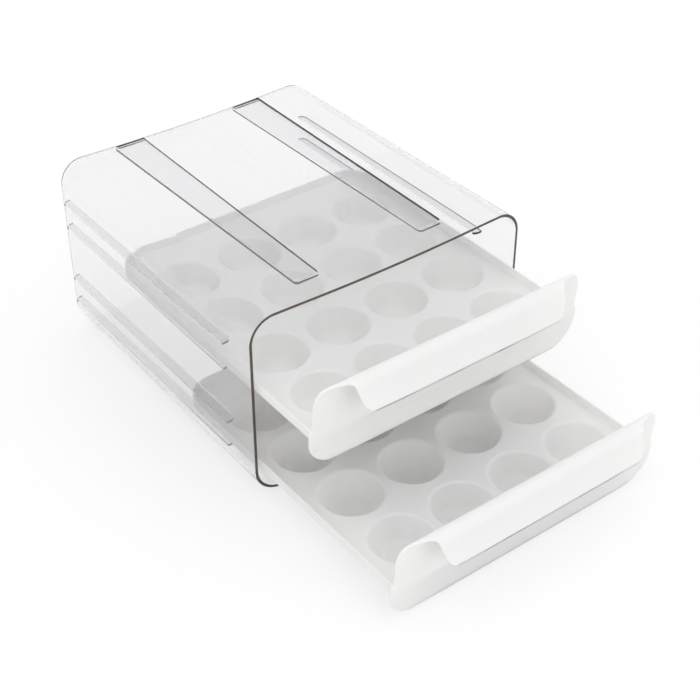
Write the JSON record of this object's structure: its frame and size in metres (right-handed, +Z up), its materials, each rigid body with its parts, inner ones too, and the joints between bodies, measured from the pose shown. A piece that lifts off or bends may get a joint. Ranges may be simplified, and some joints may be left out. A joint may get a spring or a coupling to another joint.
{
  "type": "egg dispenser",
  "caption": "Clear stacking case, open at the front, with sliding drawers for eggs: cupped trays behind white front panels whose rolled lips are the pulls.",
  "frame": {"origin": "middle of the flat underside of the case", "axes": "+Z up, +Y from the open front to the closed back, +X to the right seen from the front"},
  "size_m": [0.205, 0.378, 0.1313],
  "materials": {
    "case_plastic": "clear polished",
    "drawer_plastic": "white satin"
  },
  "bodies": {
    "case": {"clear_case": "case_plastic"},
    "upper_drawer_body": {"upper_drawer": "drawer_plastic"},
    "lower_drawer_body": {"lower_drawer": "drawer_plastic"}
  },
  "joints": [
    {"name": "upper_slide", "type": "slide", "parent": "case", "child": "upper_drawer_body", "axis": [0, -1, 0], "range_m": [-0.0525, 0.1075]},
    {"name": "lower_slide", "type": "slide", "parent": "case", "child": "lower_drawer_body", "axis": [0, -1, 0], "range_m": [-0.1265, 0.0335]}
  ]
}
